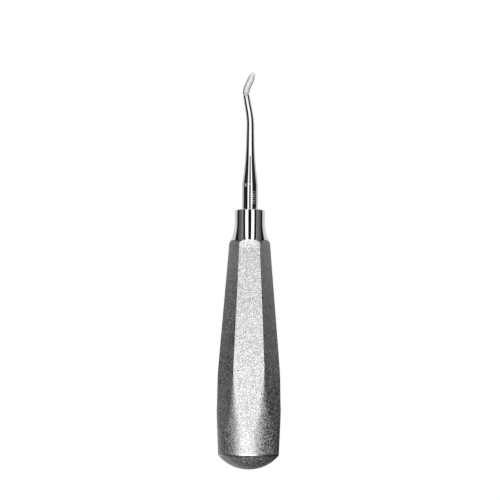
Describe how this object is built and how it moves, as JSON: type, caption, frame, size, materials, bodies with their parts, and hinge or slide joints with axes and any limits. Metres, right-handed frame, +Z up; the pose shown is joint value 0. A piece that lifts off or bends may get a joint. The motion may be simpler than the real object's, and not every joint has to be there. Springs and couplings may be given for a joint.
{
  "type": "dental elevator",
  "caption": "Hand instrument with a hollow hexagonal tapered steel handle, a polished ferrule and a slim shank bent to a small gouge blade.",
  "frame": {"origin": "under the middle of the tool's box, on the surface that the tool lies on", "axes": "+Z up with the tool lying on one flat of its handle, +X towards the blade's tip, +Y to the side that the shank leans to before the blade bends back"},
  "size_m": [0.1458, 0.0236, 0.0231],
  "materials": {
    "forged_steel": "polished",
    "polished_steel": "polished",
    "blasted_steel": "satin",
    "pin_steel": "satin",
    "braze_metal": "satin",
    "weld_steel": "satin"
  },
  "bodies": {
    "root": {"blade_shank": "forged_steel", "ferrule": "polished_steel", "handle_shell": "blasted_steel", "end_cap": "blasted_steel", "tang_pin": "pin_steel", "tang_braze": "braze_metal", "ferrule_braze": "braze_metal", "cap_weld": "weld_steel"}
  },
  "joints": []
}
